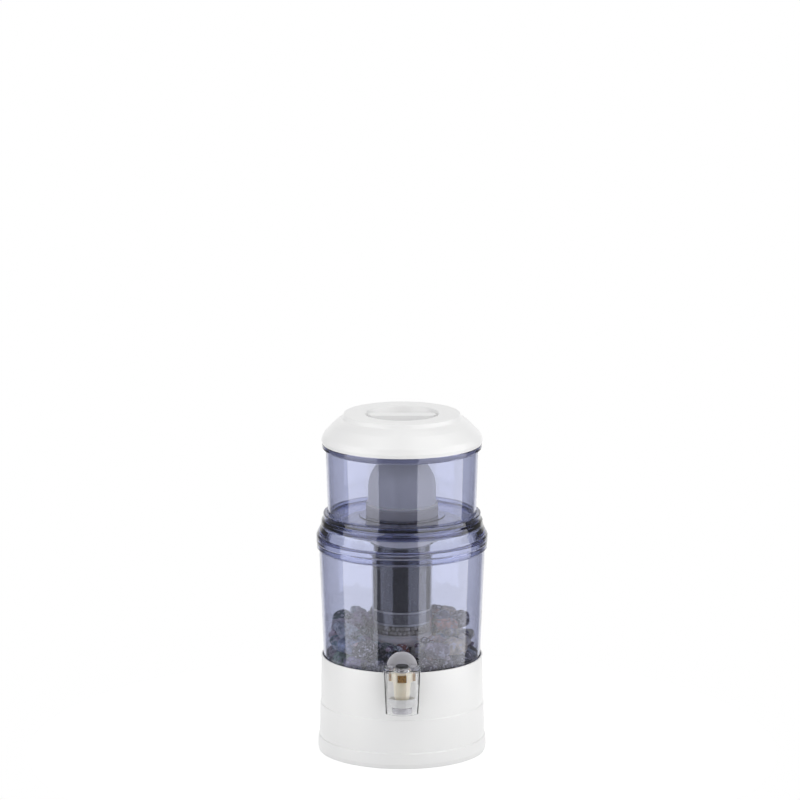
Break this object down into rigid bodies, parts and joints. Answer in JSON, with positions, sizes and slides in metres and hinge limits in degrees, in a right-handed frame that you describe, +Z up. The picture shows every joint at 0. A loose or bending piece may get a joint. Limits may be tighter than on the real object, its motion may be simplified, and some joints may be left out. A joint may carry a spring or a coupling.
{
  "type": "gravity water filter with tap",
  "caption": "Countertop gravity water filter: two stacked translucent tanks on a white stand, ceramic dome, media cartridge, mineral stones and a hooded tap.",
  "frame": {"origin": "centre of the base stand's foot, in the plane it stands on", "axes": "+Z up along the axis of the tanks, -Y towards the tap, +X to the right of a person facing the tap"},
  "size_m": [0.2732, 0.3195, 0.549],
  "materials": {
    "white_plastic": "polished moulded plastic",
    "tank_plastic": "clear blue-violet moulded plastic",
    "clear_plastic": "cloudy clear moulded plastic",
    "hood_plastic": "clear moulded plastic",
    "cream_plastic": "satin moulded plastic",
    "dish_plastic": "satin moulded plastic",
    "grey_plastic": "satin moulded plastic",
    "black_plastic": "satin moulded plastic",
    "black_rubber": "dull rubber",
    "silicone": "dull white silicone",
    "gilt_metal": "plated, worn edges",
    "spring_steel": "drawn wire",
    "ceramic": "unglazed, fine chalky grain",
    "mineral_ball": "unglazed",
    "mineral_stone": "rough broken faces",
    "carbon": "granular",
    "silica": "granular",
    "felt": "pressed fibre"
  },
  "bodies": {
    "base": {"base_stand": "white_plastic", "stand_ribs": "white_plastic"},
    "lower_tank": {"lower_tank": "tank_plastic", "mineral_stones": "mineral_stone", "tap_body": "clear_plastic", "tap_outer_gasket": "black_rubber", "tap_inner_gasket": "black_rubber", "tap_back_nut": "clear_plastic", "tap_bonnet": "white_plastic", "tap_core": "cream_plastic", "tap_magnets": "gilt_metal", "tap_spout_cup": "white_plastic", "tap_nozzle": "clear_plastic", "tap_pivot_pins": "spring_steel", "tap_spring": "spring_steel"},
    "valve_stem": {"valve_stem": "white_plastic", "valve_seal": "black_rubber", "stem_cap": "black_plastic"},
    "tap_hood": {"tap_hood": "hood_plastic"},
    "collar": {"tank_collar": "tank_plastic"},
    "cartridge": {"cartridge_dish": "dish_plastic", "dish_gasket": "silicone", "inlet_screen": "white_plastic", "cartridge_tube": "hood_plastic", "upper_felt": "felt", "carbon_bed": "carbon", "middle_felt": "felt", "silica_bed": "silica", "lower_felt": "felt", "mineral_balls": "mineral_ball", "cartridge_cap": "white_plastic"},
    "upper_tank": {"upper_tank": "tank_plastic"},
    "stem_washer": {"stem_washer": "silicone"},
    "wing_nut": {"wing_nut": "white_plastic"},
    "dome": {"ceramic_dome": "ceramic", "dome_carbon": "carbon", "dome_seal": "silicone", "dome_base": "grey_plastic", "dome_gasket": "silicone"},
    "lid": {"lid": "white_plastic"}
  },
  "joints": [
    {"name": "lower_tank_lift", "type": "slide", "parent": "base", "child": "lower_tank", "axis": [0, 0, 1], "range_m": [0, 0.0718]},
    {"name": "collar_lift", "type": "slide", "parent": "lower_tank", "child": "collar", "axis": [0, 0, 1], "range_m": [0, 0.0633]},
    {"name": "cartridge_lift", "type": "slide", "parent": "collar", "child": "cartridge", "axis": [0, 0, 1], "range_m": [0, 0.2491]},
    {"name": "upper_tank_lift", "type": "slide", "parent": "cartridge", "child": "upper_tank", "axis": [0, 0, 1], "range_m": [0, 0.0545]},
    {"name": "dome_lift", "type": "slide", "parent": "upper_tank", "child": "dome", "axis": [0, 0, 1], "range_m": [0, 0.1738]},
    {"name": "lid_lift", "type": "slide", "parent": "dome", "child": "lid", "axis": [0, 0, 1], "range_m": [0, 0.0225]},
    {"name": "stem_washer_slide", "type": "slide", "parent": "upper_tank", "child": "stem_washer", "axis": [0, 0, -1], "range_m": [0, 0.006]},
    {"name": "wing_nut_turn", "type": "hinge", "parent": "stem_washer", "child": "wing_nut", "pos_m": [0, 0, 0.3765], "axis": [0, 0, -1], "range_deg": [0, 1080]},
    {"name": "tap_hood_lift", "type": "hinge", "parent": "lower_tank", "child": "tap_hood", "pos_m": [0, -0.14187, 0.163], "axis": [-1, 0, 0], "range_deg": [0, 15]},
    {"name": "valve_lift", "type": "slide", "parent": "lower_tank", "child": "valve_stem", "axis": [0, 0, 1], "range_m": [0, 0.0072], "stiffness_N_per_m": 250, "springref_m": -0.008, "deforming": ["tap_spring"]}
  ],
  "couplings": [
    {"joint": "valve_lift", "follows": "tap_hood_lift", "m_per_rad": 0.0268},
    {"joint": "wing_nut_turn", "follows": "stem_washer_slide", "rad_per_m": 3141.6}
  ]
}
